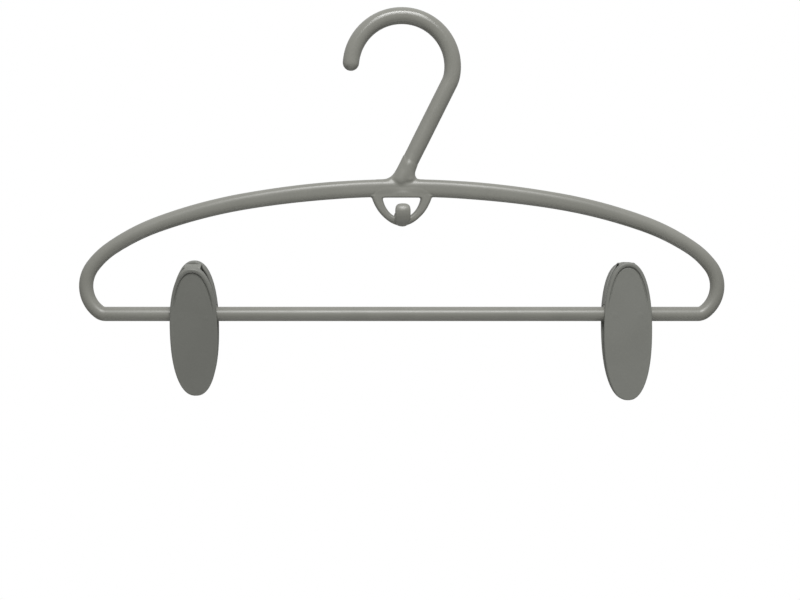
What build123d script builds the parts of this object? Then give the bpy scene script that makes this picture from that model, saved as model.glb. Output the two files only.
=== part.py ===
from build123d import *
import math
import os

os.makedirs("parts", exist_ok=True)

# Skirt hanger, millimetres. +X to the viewer's right, -Y towards the viewer, +Z up.
# The origin is the hook's seat: the point of the hook's inner side that rests on a rail.

# ---- hook and stem ---------------------------------------------------------------------
hook_rod_r = 5.1         # round rod of the hook and stem
hook_r = 31.6            # centreline radius of the hook
hook_cx = 0.05           # the hook's centre stands over the arch's middle
hook_cz = -(hook_r - hook_rod_r)
hook_tip_deg = 175.6     # the rod's open end, just above the hook's centre height
hook_turn_r = 20.0       # tighter bend from the hook into the stem
hook_turn_deg = -8.0     # where that bend starts
stem_deg = -26.57        # the stem's normal: the stem leans 26.6 degrees from upright
neck_point = (-1.0, -97.8)   # lower end of the stem's centreline, inside the arch

# ---- arch, end bends and lower bar ------------------------------------------------------
arch_z = -101.863         # crown of the arch's centreline
arch_core = (575.693, 2.2)   # radius and half turn of the crown, which has one thickness
arch_core_r = 5.45        # half height of the crown's section
arch_half_y = 4.75        # half depth of the arch, which is taller than it is deep
arch_arcs = [(575.693, 7.488), (314.237, 10.126), (131.751, 14.387)]   # radius, turn in degrees
arch_radii = [(0.0, 5.45), (0.2, 5.34), (0.4, 5.12), (0.6, 4.95), (0.8, 4.72), (1.0, 4.375)]
bend_arcs = [(49.177, 19.176), (20.185, 88.995), (7.004, 37.628)]
bar_r = 4.375
bar_z = -180.0

# ---- D-shaped loop and cascade peg ------------------------------------------------------
loop_half_y = 5.1        # half thickness of the loop's plate
loop_edge = 1.7
neck_half_y = 4.3
neck_edge = 2.0
peg_w = 9.3
peg_t = 4.8
valley_w = 10.8          # takes the next hanger's hook rod
valley_z = -122.65       # floor of the valley
peg_floor_t = 3.15
peg_top_z = -111.1

# ---- clips ------------------------------------------------------------------------------
clip_left_x = -128.7
clip_right_x = 139.3
clip_left_tilt = 13.0    # degrees about +X: the top leans towards the viewer
clip_right_tilt = -3.0
oval_a = 14.75           # half width of the oval
oval_b = 42.48           # half length of the oval
oval_n = 2.3
oval_drop = 10.58        # the oval's middle is this far below the bar's axis
face_at_bar = 6.65       # outer face to clip mid-plane, at the bar
face_deg = 4.2           # each plate leans away from the mid-plane
plate_t = 2.3
rim_t = 1.6
front_rim_depth = 3.6
rear_rim_depth = 4.6
lip_w = 2.9
lip_h = 1.0
skirt_inset = 2.1
skirt_t = 1.3
squeeze_deg = 12.0       # full squeeze of the front jaw
sleeve_in_r = bar_r + 0.045
sleeve_out_r = 5.20
sleeve_rim_r = 5.55
sleeve_half = 14.0
jaw_bore_r = sleeve_out_r + 0.06
ear_r = 6.4
ear_t = 2.9
front_ear_x = 6.5
rear_ear_x = 10.0
spring_w = 10.0
spring_t = 0.9
spring_bend = 0.5
spring_outer = [(9.5, -4.9), (20.0, -4.6), (31.35, -3.9), (31.8, 0.5), (31.35, 4.95), (20.0, 5.3), (9.5, 4.9)]
spring_inner = [(9.5, -4.0), (20.0, -3.7), (30.45, -3.0), (30.9, 0.5), (30.45, 4.05), (20.0, 4.4), (9.5, 4.0)]
pad_w = 12.0
pad_gap = 0.18           # each pad's face to the mid-plane


def polar(cx, cz, r, deg):
    return (cx + r * math.cos(math.radians(deg)), cz + r * math.sin(math.radians(deg)))


def flip(p):
    return (-p[0], p[1])


def arc_chain(start, heading, arcs):
    """Points (start, middle, end) of right-hand arcs that follow each other without a kink."""
    x, z, h = start[0], start[1], math.radians(heading)
    out = []
    for r, turn in arcs:
        a = math.radians(turn)
        cx, cz = x - r * math.sin(h), z - r * math.cos(h)
        pts = [(cx + r * math.sin(h + a * k), cz + r * math.cos(h + a * k)) for k in (0, 0.5, 1)]
        out.append(pts)
        x, z = pts[2]
        h += a
    return out, (x, z), math.degrees(h)


# Sketch planes: "front" is the hanger's own plane seen by the viewer, with local x = X, local y = Z.
front = Plane(origin=(0, 0, 0), x_dir=(1, 0, 0), z_dir=(0, -1, 0))

# ---- one moulded frame --------------------------------------------------------------------
h1a = polar(hook_cx, hook_cz, hook_r, hook_tip_deg)
h1m = polar(hook_cx, hook_cz, hook_r, (hook_tip_deg + hook_turn_deg) / 2)
h1b = polar(hook_cx, hook_cz, hook_r, hook_turn_deg)
turn_c = polar(hook_cx, hook_cz, hook_r - hook_turn_r, hook_turn_deg)
h2m = polar(turn_c[0], turn_c[1], hook_turn_r, (hook_turn_deg + stem_deg) / 2)
h2b = polar(turn_c[0], turn_c[1], hook_turn_r, stem_deg)
stem_dir = (math.sin(math.radians(stem_deg)), -math.cos(math.radians(stem_deg)))
stem_len = (neck_point[1] - h2b[1]) / stem_dir[1]
stem_end = (h2b[0] + stem_dir[0] * stem_len, h2b[1] + stem_dir[1] * stem_len)
print("stem ends at", stem_end)

core_end = (arch_core[0] * math.sin(math.radians(arch_core[1])), arch_z - arch_core[0] * (1 - math.cos(math.radians(arch_core[1]))))
arch_pts, arch_end, arch_heading = arc_chain(core_end, arch_core[1], arch_arcs)
bend_pts, bend_end, bend_heading = arc_chain(arch_end, arch_heading, bend_arcs)
print("arch end", arch_end, "bend end", bend_end, bend_heading)

# left and right sides of the neck's silhouette where the stem spreads into the arch
neck_left = [(1.2, -82.0), (-3.0, -90.3), (-6.6, -94.6), (-10.2, -96.3), (-15.6, -96.75)]
neck_right = [(9.25, -88.3), (8.3, -91.0), (8.05, -92.6), (8.55, -94.9), (10.1, -96.3), (13.2, -96.85)]

# loop outline, right half, from the arch down to the middle of its underside
loop_outer = [(18.9, -106.6), (17.3, -111.05), (14.55, -116.0), (9.96, -120.97), (5.0, -124.2), (0.0, -125.25)]
loop_inner = [(11.9, -107.75), (11.1, -111.05), (8.5, -115.9), (5.2, -118.9), (0.0, -120.3)]
plate_top = [(12.0, -101.0), (16.4, -103.4)]

with BuildPart() as frame:
    # crown of the arch, then its two tapering halves
    with BuildLine(front) as core_path:
        ThreePointArc(flip(core_end), (0, arch_z), core_end)
    with BuildSketch(core_path.line ^ 0):
        Ellipse(arch_core_r, arch_half_y)
    sweep(path=core_path.line)
    for pts in (arch_pts, [[flip(q) for q in arc] for arc in arch_pts]):
        with BuildLine(front) as arch_path:
            for a, m, b in pts:
                ThreePointArc(a, m, b)
        for at, r in arch_radii:
            with BuildSketch(arch_path.line ^ at):
                Ellipse(r, arch_half_y + (bar_r - arch_half_y) * at)
        sweep(path=arch_path.line, multisection=True)
    # end bends
    for pts in (bend_pts, [[flip(q) for q in arc] for arc in bend_pts]):
        with BuildLine(front) as bend_path:
            for a, m, b in pts:
                ThreePointArc(a, m, b)
        with BuildSketch(bend_path.line ^ 0):
            Circle(bar_r)
        sweep(path=bend_path.line)
    # straight lower bar
    with BuildSketch(Plane.YZ):
        with Locations((0, bar_z)):
            Circle(bar_r)
    extrude(amount=bend_end[0], both=True)
    # hook and stem: a round rod with a ball end
    with BuildLine(front) as hook_path:
        ThreePointArc(h1a, h1m, h1b)
        ThreePointArc(h1b, h2m, h2b)
        Line(h2b, stem_end)
    with BuildSketch(hook_path.line ^ 0):
        Circle(hook_rod_r)
    sweep(path=hook_path.line)
    with Locations((h1a[0], 0, h1a[1])):
        Sphere(hook_rod_r)

# web that spreads the stem's foot into the arch
with BuildPart() as neck:
    with BuildSketch(front):
        with BuildLine():
            Spline(*neck_left)
            Line(neck_left[-1], (-15.6, -102.0))
            Line((-15.6, -102.0), (13.2, -102.0))
            Line((13.2, -102.0), neck_right[-1])
            Spline(*reversed(neck_right))
            Line(neck_right[0], neck_left[0])
        make_face()
    extrude(amount=neck_half_y, both=True)
    fillet(neck.edges().filter_by(lambda e: abs(abs(e.center().Y) - neck_half_y) < 0.01 and e.center().Z > -98), radius=neck_edge)

# flat-faced plate of the D-shaped loop, with its opening
with BuildPart() as loop:
    with BuildSketch(front):
        with BuildLine():
            Polyline((0, plate_top[0][1]), *plate_top, loop_outer[0])
            Spline(*loop_outer, tangents=[(-0.28, -1), (-1, 0)])
            Line(loop_outer[-1], (0, plate_top[0][1]))
        make_face()
        with BuildLine():
            Line((0, loop_inner[0][1]), loop_inner[0])
            Spline(*loop_inner, tangents=[(-0.15, -1), (-1, 0)])
            Line(loop_inner[-1], (0, loop_inner[0][1]))
        make_face(mode=Mode.SUBTRACT)
        mirror(about=Plane.YZ)
    extrude(amount=loop_half_y, both=True)
    fillet(loop.edges().filter_by(lambda e: abs(abs(e.center().Y) - loop_half_y) < 0.01), radius=loop_edge)

# up-turned peg: a J seen from the side, a rounded tongue seen from the front
peg_back = -loop_half_y - valley_w
peg_front = peg_back - peg_t
valley_r = valley_w / 2
valley_cy = -loop_half_y - valley_r
valley_cz = valley_z + valley_r
peg_under_z = valley_z - peg_floor_t
heel_r = valley_cy - peg_front
side = Plane.YZ
with BuildPart() as peg:
    with BuildSketch(side):
        with BuildLine():
            Line((-loop_half_y + 3.0, peg_under_z), (valley_cy, peg_under_z))
            ThreePointArc((valley_cy, peg_under_z), (valley_cy - heel_r * math.sqrt(0.5), peg_under_z + heel_r * (1 - math.sqrt(0.5))), (peg_front, peg_under_z + heel_r))
            Line((peg_front, peg_under_z + heel_r), (peg_front, peg_top_z - peg_t / 2))
            ThreePointArc((peg_front, peg_top_z - peg_t / 2), (peg_front + peg_t / 2, peg_top_z), (peg_back, peg_top_z - peg_t / 2))
            Line((peg_back, peg_top_z - peg_t / 2), (peg_back, valley_cz))
            ThreePointArc((peg_back, valley_cz), (valley_cy, valley_z), (-loop_half_y, valley_cz))
            Line((-loop_half_y, valley_cz), (-loop_half_y + 3.0, valley_cz))
            Line((-loop_half_y + 3.0, valley_cz), (-loop_half_y + 3.0, peg_under_z))
        make_face()
    extrude(amount=peg_w / 2, both=True)
    # front-view outline of the tongue: dome top, rounded lower corners
    with BuildSketch(front):
        with BuildLine():
            ThreePointArc((-peg_w / 2, peg_top_z - peg_w / 2 + 0.6), (0, peg_top_z), (peg_w / 2, peg_top_z - peg_w / 2 + 0.6))
            Line((peg_w / 2, peg_top_z - peg_w / 2 + 0.6), (peg_w / 2, peg_under_z + 3.4))
            ThreePointArc((peg_w / 2, peg_under_z + 3.4), (0, peg_under_z), (-peg_w / 2, peg_under_z + 3.4))
            Line((-peg_w / 2, peg_under_z + 3.4), (-peg_w / 2, peg_top_z - peg_w / 2 + 0.6))
        make_face()
    extrude(amount=40, both=True, mode=Mode.INTERSECT)

with BuildPart() as hanger:
    add(loop.part)
    add(peg.part)
    add(neck.part)
    add(frame.part)
print("frame", hanger.part.volume, hanger.part.is_valid, len(hanger.solids()), hanger.part.bounding_box())
hanger.part.label = "hanger_frame"
export_step(hanger.part, "parts/hanger_frame.step")


# ---- clips --------------------------------------------------------------------------------
# Every clip piece is drawn from the clip's own planes: local x = X, local y = up along the
# clip, local z = towards the viewer, with the bar's axis through the local origin.
def clip_plane(x, tilt):
    t = math.radians(tilt)
    return Plane(origin=(x, 0, bar_z), x_dir=(1, 0, 0), z_dir=(0, -math.cos(t), -math.sin(t)))


def turned(base):
    """The same clip plane seen from behind."""
    return Plane(origin=base.origin, x_dir=-base.x_dir, z_dir=-base.z_dir)


def lean(base, out, deg):
    """The base plane moved out along its normal, then leant by deg with its top outwards."""
    a = math.radians(deg)
    n, u = base.z_dir, base.y_dir
    return Plane(origin=base.origin + n * out, x_dir=base.x_dir, z_dir=n * math.cos(a) - u * math.sin(a))


def across(base, x):
    """A plane square to the bar at x: local x is up, local y is out of the clip."""
    return Plane(origin=base.origin + base.x_dir * x, x_dir=base.y_dir, z_dir=base.x_dir)


cos_f = math.cos(math.radians(face_deg))
top_y = (oval_b - oval_drop) / cos_f
bottom_y = -(oval_b + oval_drop) / cos_f


def oval(d_side=0.0, d_top=0.0, d_bottom=0.0):
    """A filled oval, widest in its middle and rounder than an ellipse at its ends."""
    top, bottom = top_y - d_top, bottom_y + d_bottom
    mid, half, wide = (top + bottom) / 2, (top - bottom) / 2, oval_a - d_side
    pts = []
    for i in range(32):
        t = math.pi * (i + 0.5) / 16
        c, q = math.cos(t), math.sin(t)
        pts.append((wide * math.copysign(abs(c) ** (2 / oval_n), c), mid + half * math.copysign(abs(q) ** (2 / oval_n), q)))
    with BuildSketch() as filled:
        with BuildLine():
            Spline(*pts, periodic=True)
        make_face()
    return filled.sketch


outline = oval()
rim_inside = oval(rim_t, rim_t, rim_t)
skirt_outside = oval(skirt_inset, skirt_inset, skirt_inset)
skirt_inside = oval(skirt_inset + skirt_t, skirt_inset + skirt_t, skirt_inset + skirt_t)
lip_inside = oval(2.0, lip_w, 0.0)


def make_skirt(own, face):
    """Inner wall of the rear jaw: it closes the clip's top and slips inside the front jaw's rim."""
    stop = lean(own, -(face_at_bar - plate_t) - 0.03, squeeze_deg - face_deg).offset(0.45)
    with BuildPart() as skirt:
        with BuildSketch(face):
            add(skirt_outside)
            add(skirt_inside, mode=Mode.SUBTRACT)
            with Locations((0, 8.2 - 50)):
                Rectangle(80, 100, mode=Mode.SUBTRACT)
            Rectangle(spring_w + 0.8, 100, mode=Mode.SUBTRACT)
        extrude(amount=-18)
        split(bisect_by=stop, keep=Keep.TOP)
    return skirt.part


def make_wall(own, face):
    """Deep outer wall of the rear jaw: at full squeeze it stops short of the front jaw's rim."""
    stop = lean(own, -(face_at_bar - front_rim_depth) - 0.03, squeeze_deg - face_deg).offset(0.45)
    with BuildPart() as wall:
        with BuildSketch(face):
            add(outline)
            add(rim_inside, mode=Mode.SUBTRACT)
            with Locations((0, -50)):
                Rectangle(80, 100, mode=Mode.SUBTRACT)
            Rectangle(spring_w + 0.8, 100, mode=Mode.SUBTRACT)
        extrude(amount=-18)
        split(bisect_by=stop, keep=Keep.TOP)
    return wall.part


def make_lip(face):
    """Raised lip round the upper half of the outer face, fading out at the bar."""
    fade_a = math.atan(lip_h / (top_y - 1.0))
    fade = Plane(origin=face.origin + face.y_dir * 1.0, x_dir=face.x_dir,
                 z_dir=face.z_dir * math.cos(fade_a) - face.y_dir * math.sin(fade_a))
    with BuildPart() as lip:
        with BuildSketch(face.offset(-0.4)):
            add(outline)
            add(lip_inside, mode=Mode.SUBTRACT)
            with Locations((0, 1.2 - 50)):
                Rectangle(80, 100, mode=Mode.SUBTRACT)
        extrude(amount=lip_h + 1.0)
        split(bisect_by=fade, keep=Keep.BOTTOM)
    return lip.part


def make_jaw(base, front_side, name):
    own = base if front_side else turned(base)
    face = lean(own, face_at_bar, face_deg)
    lip = make_lip(face)
    skirt = None if front_side else make_skirt(own, face)
    wall = None if front_side else make_wall(own, face)
    ear_x = front_ear_x if front_side else rear_ear_x
    with BuildPart() as part:
        # flat oval plate
        with BuildSketch(face):
            add(outline)
        extrude(amount=-plate_t)
        # rim round the part above the bar
        with BuildSketch(face):
            add(outline)
            add(rim_inside, mode=Mode.SUBTRACT)
            with Locations((0, -50)):
                Rectangle(80, 100, mode=Mode.SUBTRACT)
        extrude(amount=-(front_rim_depth if front_side else rear_rim_depth))
        add(lip)
        if not front_side:
            add(wall)
            add(skirt)
        # open ears that snap round the sleeve
        for sx in (-1, 1):
            with BuildSketch(across(own, sx * (ear_x + ear_t / 2))):
                Circle(ear_r)
                with Locations((0, -(10 + 1.5))):
                    Rectangle(30, 20, mode=Mode.SUBTRACT)
            extrude(amount=ear_t / 2, both=True)
        # bore for the sleeve, wider where the sleeve's end rims turn
        with BuildSketch(across(own, 0)):
            Circle(jaw_bore_r)
        extrude(amount=30, both=True, mode=Mode.SUBTRACT)
        for sx in (-1, 1):
            with BuildSketch(across(own, sx * (rear_ear_x + ear_t + 0.05))):
                Circle(sleeve_rim_r + 0.3)
            extrude(amount=sx * 10, mode=Mode.SUBTRACT)
    part.part.label = name
    return part.part


def make_sleeve(x, name):
    base = clip_plane(x, 0)
    with BuildPart() as sleeve:
        with BuildSketch(across(base, 0)):
            Circle(sleeve_out_r)
        extrude(amount=sleeve_half, both=True)
        for sx in (-1, 1):
            with BuildSketch(across(base, sx * (rear_ear_x + ear_t + 0.25))):
                Circle(sleeve_rim_r)
            extrude(amount=sx * (sleeve_half - rear_ear_x - ear_t - 0.25))
        with BuildSketch(across(base, 0)):
            Circle(sleeve_in_r)
            with Locations((-6, 0)):
                Rectangle(12, 3.0)
        extrude(amount=sleeve_half + 1, both=True, mode=Mode.SUBTRACT)
    sleeve.part.label = name
    return sleeve.part


def make_spring(base, name):
    """Band bent to an upside-down U between the finger ends: local x is up, y is to the viewer."""
    with BuildPart() as spring:
        with BuildSketch(across(base, 0)):
            with BuildLine():
                FilletPolyline(*spring_outer, radius=spring_bend + spring_t)
                Line(spring_outer[-1], spring_inner[-1])
                FilletPolyline(*spring_inner, radius=spring_bend)
                Line(spring_inner[0], spring_outer[0])
            make_face()
        extrude(amount=spring_w / 2, both=True)
    spring.part.label = name
    return spring.part


def make_pad(base, front_side, name):
    """Grip pad: a wedge on the inner face at the clip's mouth, with cross grooves."""
    own = base if front_side else turned(base)
    inner_face = lean(own, face_at_bar, face_deg).offset(-plate_t)
    with BuildPart() as pad:
        with BuildSketch(own.offset(pad_gap)):
            with Locations((0, -40.0)):
                RectangleRounded(pad_w, 16.0, 2.0)
        extrude(amount=6)
        split(bisect_by=inner_face, keep=Keep.BOTTOM)
        with BuildSketch(own.offset(pad_gap)):
            with GridLocations(0, 2.6, 1, 5):
                with Locations((0, -40.0)):
                    Rectangle(pad_w + 2, 0.9)
        extrude(amount=0.32, mode=Mode.SUBTRACT)
    pad.part.label = name
    return pad.part


for tag, cx, tilt in (("left", clip_left_x, clip_left_tilt), ("right", clip_right_x, clip_right_tilt)):
    base = clip_plane(cx, tilt)
    made = [
        make_jaw(base, True, tag + "_front_jaw"),
        make_jaw(base, False, tag + "_rear_jaw"),
        make_sleeve(cx, tag + "_sleeve"),
        make_spring(base, tag + "_spring"),
        make_pad(base, True, tag + "_front_pad"),
        make_pad(base, False, tag + "_rear_pad"),
    ]
    for p in made:
        print(p.label, round(p.volume, 1), p.is_valid, len(p.solids()), p.bounding_box())
        export_step(p, "parts/" + p.label + ".step")
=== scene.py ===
import math

import bpy
import bmesh
import numpy as np
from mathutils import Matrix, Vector


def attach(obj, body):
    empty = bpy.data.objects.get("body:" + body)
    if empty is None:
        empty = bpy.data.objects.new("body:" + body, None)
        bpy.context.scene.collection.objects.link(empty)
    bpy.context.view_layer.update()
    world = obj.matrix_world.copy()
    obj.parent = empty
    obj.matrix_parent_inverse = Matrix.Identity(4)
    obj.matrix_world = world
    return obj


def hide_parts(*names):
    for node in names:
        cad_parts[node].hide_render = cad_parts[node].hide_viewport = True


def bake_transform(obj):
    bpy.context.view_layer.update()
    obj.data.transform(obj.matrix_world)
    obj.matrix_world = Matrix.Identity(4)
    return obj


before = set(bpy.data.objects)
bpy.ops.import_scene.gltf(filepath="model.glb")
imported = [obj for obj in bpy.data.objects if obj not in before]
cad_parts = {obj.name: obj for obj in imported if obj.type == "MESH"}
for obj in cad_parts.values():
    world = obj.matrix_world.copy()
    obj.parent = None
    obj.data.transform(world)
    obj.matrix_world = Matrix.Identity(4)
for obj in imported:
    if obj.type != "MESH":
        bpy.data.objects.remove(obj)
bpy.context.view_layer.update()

MM = 0.001
PX = 0.6204               # millimetres of the hanger's own plane to a pixel of the 800 x 600 frame
DIST = 850.0              # camera to the hanger's plane
EYE_PX = (340.0, 200.0)   # the pixel that the camera faces squarely

# ---- camera ---------------------------------------------------------------------------------
cam_data = bpy.data.cameras.new("camera")
cam = bpy.data.objects.new("camera", cam_data)
bpy.context.scene.collection.objects.link(cam)
cam.location = ((EYE_PX[0] - 401.15) * PX * MM, -DIST * MM, (23.3 - EYE_PX[1]) * PX * MM)
cam.rotation_euler = (math.radians(90), 0, 0)
cam_data.sensor_width = 36.0
cam_data.lens = 36.0 * DIST / (800 * PX)
cam_data.shift_x = (399.5 - EYE_PX[0]) / 800
cam_data.shift_y = (EYE_PX[1] - 299.5) / 800
cam_data.clip_start = 0.05
cam_data.clip_end = 20
bpy.context.scene.camera = cam
bpy.context.scene.view_settings.view_transform = "Standard"
bpy.context.scene.view_settings.look = "None"


# ---- small toolkit for shapes given as distances, in millimetres ------------------------------
def smin(a, b, k):
    h = np.clip(0.5 + 0.5 * (b - a) / k, 0, 1)
    return b * (1 - h) + a * h - k * h * (1 - h)


def smax(a, b, k):
    return -smin(-a, -b, k)


def smooth(lo, hi, v):
    t = np.clip((v - lo) / (hi - lo), 0, 1)
    return t * t * (3 - 2 * t)


def super_dist(p, q, a, b, n):
    """First-order distance to |p/a|^n + |q/b|^n = 1."""
    ap, aq = np.abs(p) / a, np.abs(q) / b
    f = (ap ** n + aq ** n) + 1e-12
    g = f ** (1 / n)
    gp = (ap / g) ** (n - 1) / a
    gq = (aq / g) ** (n - 1) / b
    return (g - 1) / np.sqrt(gp * gp + gq * gq + 1e-12)


def slab(d2, h, lo, hi, r):
    """A flat shape with distance d2, thick from lo to hi along h, with its edges rounded by r."""
    hh = np.maximum(lo - h, h - hi)
    p, q = d2 + r, hh + r
    return np.minimum(np.maximum(p, q), 0) + np.hypot(np.maximum(p, 0), np.maximum(q, 0)) - r


def poly_dist(x, z, pts):
    """Distance to a closed polygon, negative inside."""
    x, z = np.broadcast_arrays(np.asarray(x, float), np.asarray(z, float))
    best = np.full(x.shape, 1e18)
    inside = np.zeros(x.shape, bool)
    n = len(pts)
    for i in range(n):
        ax, az = pts[i]
        bx, bz = pts[(i + 1) % n]
        ex, ez = bx - ax, bz - az
        px, pz = x - ax, z - az
        t = np.clip((px * ex + pz * ez) / (ex * ex + ez * ez + 1e-18), 0, 1)
        dx, dz = px - ex * t, pz - ez * t
        best = np.minimum(best, dx * dx + dz * dz)
        if az != bz:
            hit = ((az > z) != (bz > z)) & (x < (bx - ax) * (z - az) / (bz - az) + ax)
            inside ^= hit
    d = np.sqrt(best)
    return np.where(inside, -d, d)


def spline(pts, per=8, start=None, end=None):
    """Smooth curve through the points, by chord length, with end directions if they are given."""
    p = np.array(pts, float)
    n = len(p)
    t = np.concatenate([[0], np.cumsum(np.hypot(*(p[1:] - p[:-1]).T))])
    h = np.diff(t)
    m = np.zeros((n, n))
    r = np.zeros((n, 2))
    for i in range(1, n - 1):
        m[i, i - 1], m[i, i], m[i, i + 1] = h[i], 2 * (h[i - 1] + h[i]), h[i - 1]
        r[i] = 3 * (h[i] * (p[i] - p[i - 1]) / h[i - 1] + h[i - 1] * (p[i + 1] - p[i]) / h[i])
    for i, way, j in ((0, start, 0), (n - 1, end, n - 2)):
        if way is None:
            m[i, i], m[i, 1 if i == 0 else n - 2] = 2, 1
            r[i] = 3 * (p[j + 1] - p[j]) / h[j]
        else:
            w = np.array(way, float)
            m[i, i] = 1
            r[i] = w / np.hypot(*w)
    d = np.linalg.solve(m, r)
    out = []
    for i in range(n - 1):
        for k in range(per):
            s = k / per
            a, b, c, e = 2 * s ** 3 - 3 * s ** 2 + 1, s ** 3 - 2 * s ** 2 + s, -2 * s ** 3 + 3 * s ** 2, s ** 3 - s ** 2
            out.append(a * p[i] + b * h[i] * d[i] + c * p[i + 1] + e * h[i] * d[i + 1])
    out.append(p[-1])
    return [tuple(q) for q in out]


def rounded(pts, corner, size, n=6):
    """The polygon with one corner turned into a small curve."""
    p = np.array(pts[corner], float)
    a, b = np.array(pts[corner - 1], float), np.array(pts[(corner + 1) % len(pts)], float)
    u, v = (a - p) / np.hypot(*(a - p)), (b - p) / np.hypot(*(b - p))
    curve = [tuple((1 - t) ** 2 * (p + u * size) + 2 * t * (1 - t) * p + t * t * (p + v * size)) for t in np.linspace(0, 1, n)]
    return list(pts[:corner]) + curve + list(pts[corner + 1:])


def gradient(f, p, e=0.02):
    g = np.empty_like(p)
    for k in range(3):
        q, w = p.copy(), p.copy()
        q[:, k] += e
        w[:, k] -= e
        g[:, k] = f(q[:, 0], q[:, 1], q[:, 2]) - f(w[:, 0], w[:, 1], w[:, 2])
    return g / (2 * e)


def settle(f, p, rounds):
    for _ in range(rounds):
        d = f(p[:, 0], p[:, 1], p[:, 2])
        g = gradient(f, p)
        l2 = np.maximum((g * g).sum(1), 0.05)
        p -= np.clip(d / l2, -0.4, 0.4)[:, None] * g
    return p


def surface(f, lo, hi, h, relax=3):
    """Quad mesh of the surface f = 0 inside a box: one vertex in each crossed cell, then moved onto the surface."""
    lo = np.array(lo, float)
    n = np.ceil((np.array(hi, float) - lo) / h).astype(int) + 1
    ax = [lo[k] + h * np.arange(n[k]) for k in range(3)]
    val = np.empty(tuple(n))
    step = max(1, int(400000 / (n[1] * n[2])))
    for i in range(0, n[0], step):
        val[i:i + step] = f(ax[0][i:i + step, None, None], ax[1][None, :, None], ax[2][None, None, :])
    neg = val < 0
    c = neg[:-1, :-1, :-1].astype(np.int8)
    for dx, dy, dz in [(1, 0, 0), (0, 1, 0), (0, 0, 1), (1, 1, 0), (1, 0, 1), (0, 1, 1), (1, 1, 1)]:
        c = c + neg[dx:n[0] - 1 + dx, dy:n[1] - 1 + dy, dz:n[2] - 1 + dz]
    active = (c > 0) & (c < 8)
    index = np.full(active.shape, -1, np.int64)
    cells = np.argwhere(active)
    index[active] = np.arange(len(cells))
    total = np.zeros((len(cells), 3))
    count = np.zeros(len(cells))
    corner = {}
    for dx in (0, 1):
        for dy in (0, 1):
            for dz in (0, 1):
                corner[dx, dy, dz] = val[cells[:, 0] + dx, cells[:, 1] + dy, cells[:, 2] + dz]
    for axis in range(3):
        for s in (0, 1):
            for t in (0, 1):
                a = [0, 0, 0]
                o = [k for k in range(3) if k != axis]
                a[o[0]], a[o[1]] = s, t
                b = list(a)
                b[axis] = 1
                va, vb = corner[tuple(a)], corner[tuple(b)]
                cross = (va < 0) != (vb < 0)
                u = np.where(cross, va / np.where(cross, va - vb, 1), 0)
                point = np.array(a, float)[None, :].repeat(len(cells), 0)
                point[:, axis] += u
                total += point * cross[:, None]
                count += cross
    verts = lo + h * (cells + total / count[:, None])
    faces = []
    for axis in range(3):
        o = [k for k in range(3) if k != axis]
        a = [slice(None)] * 3
        b = [slice(None)] * 3
        a[axis], b[axis] = slice(0, n[axis] - 1), slice(1, n[axis])
        sa, sb = neg[tuple(a)], neg[tuple(b)]
        edge = np.argwhere(sa != sb)
        ok = (edge[:, o[0]] > 0) & (edge[:, o[1]] > 0) & (edge[:, o[0]] < n[o[0]] - 1) & (edge[:, o[1]] < n[o[1]] - 1)
        edge = edge[ok]
        quad = []
        for s, t in ((-1, -1), (0, -1), (0, 0), (-1, 0)):
            e = edge.copy()
            e[:, o[0]] += s
            e[:, o[1]] += t
            quad.append(index[e[:, 0], e[:, 1], e[:, 2]])
        quad = np.stack(quad, 1)
        flip = sa[edge[:, 0], edge[:, 1], edge[:, 2]]
        if axis == 1:
            flip = ~flip
        quad[~flip] = quad[~flip][:, ::-1]
        faces.append(quad)
    faces = np.concatenate(faces)
    faces = faces[(faces >= 0).all(1)]
    verts = settle(f, verts, 3)
    pairs = np.concatenate([faces[:, [0, 1]], faces[:, [1, 2]], faces[:, [2, 3]], faces[:, [3, 0]]])
    pairs = np.unique(np.sort(pairs, 1), axis=0)
    deg = np.bincount(pairs.ravel(), minlength=len(verts)).astype(float)
    for _ in range(relax):
        avg = np.zeros_like(verts)
        for k in range(3):
            avg[:, k] = np.bincount(pairs[:, 0], verts[pairs[:, 1], k], len(verts)) + np.bincount(pairs[:, 1], verts[pairs[:, 0], k], len(verts))
        avg /= np.maximum(deg, 1)[:, None]
        verts = settle(f, verts * 0.45 + avg * 0.55, 1)
    verts = settle(f, verts, 2)
    return verts, faces


def unit(v):
    return v / np.maximum(np.linalg.norm(v, axis=-1, keepdims=True), 1e-12)


def make(name, verts, faces, normals=None, material=None):
    """A smooth-shaded object from points in millimetres."""
    me = bpy.data.meshes.new(name)
    me.from_pydata((np.asarray(verts, float) * MM).tolist(), [], [list(map(int, f)) for f in faces])
    me.update()
    me.polygons.foreach_set("use_smooth", np.ones(len(me.polygons), bool))
    if normals is not None:
        me.normals_split_custom_set_from_vertices(unit(np.asarray(normals, float)).tolist())
    ob = bpy.data.objects.new(name, me)
    bpy.context.scene.collection.objects.link(ob)
    if material is not None:
        me.materials.append(material)
    return ob


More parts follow.
